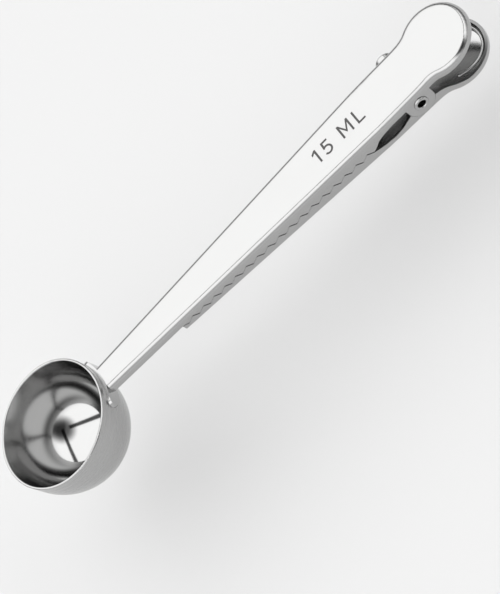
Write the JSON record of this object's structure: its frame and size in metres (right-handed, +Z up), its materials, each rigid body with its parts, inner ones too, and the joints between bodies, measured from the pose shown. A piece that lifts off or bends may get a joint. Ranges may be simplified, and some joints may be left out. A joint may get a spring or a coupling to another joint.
{
  "type": "coffee scoop with bag clip handle",
  "caption": "Round measuring scoop on a long pressed steel handle that is a sprung bag clip, with a toothed lower jaw hinged on a rivet and two thumb pads.",
  "frame": {"origin": "on the table under the middle of the scoop as it lies at rest on the bowl's bottom and the end of the lower thumb pad", "axes": "+X along the length from the bowl to the thumb pads, +Z up from the table, Y across; the handle is mirror-symmetric about Y = 0 apart from the rivet and spring"},
  "size_m": [0.1714, 0.036, 0.0232],
  "materials": {
    "arms": "satin",
    "bowl": "polished",
    "rivet": "polished",
    "spring": "polished"
  },
  "bodies": {
    "scoop": {"upper_arm": "arms", "bowl": "bowl", "hinge_rivet": "rivet", "torsion_spring": "spring"},
    "clip_lever": {"lower_arm": "arms"}
  },
  "joints": [
    {"name": "clip_hinge", "type": "hinge", "parent": "scoop", "child": "clip_lever", "pos_m": [0.06157, 0, 0.00885], "axis": [0, -1, 0], "range_deg": [0, 21], "stiffness_Nm_per_rad": 0.12, "springref_deg": -68.75, "deforming": ["torsion_spring"]}
  ]
}
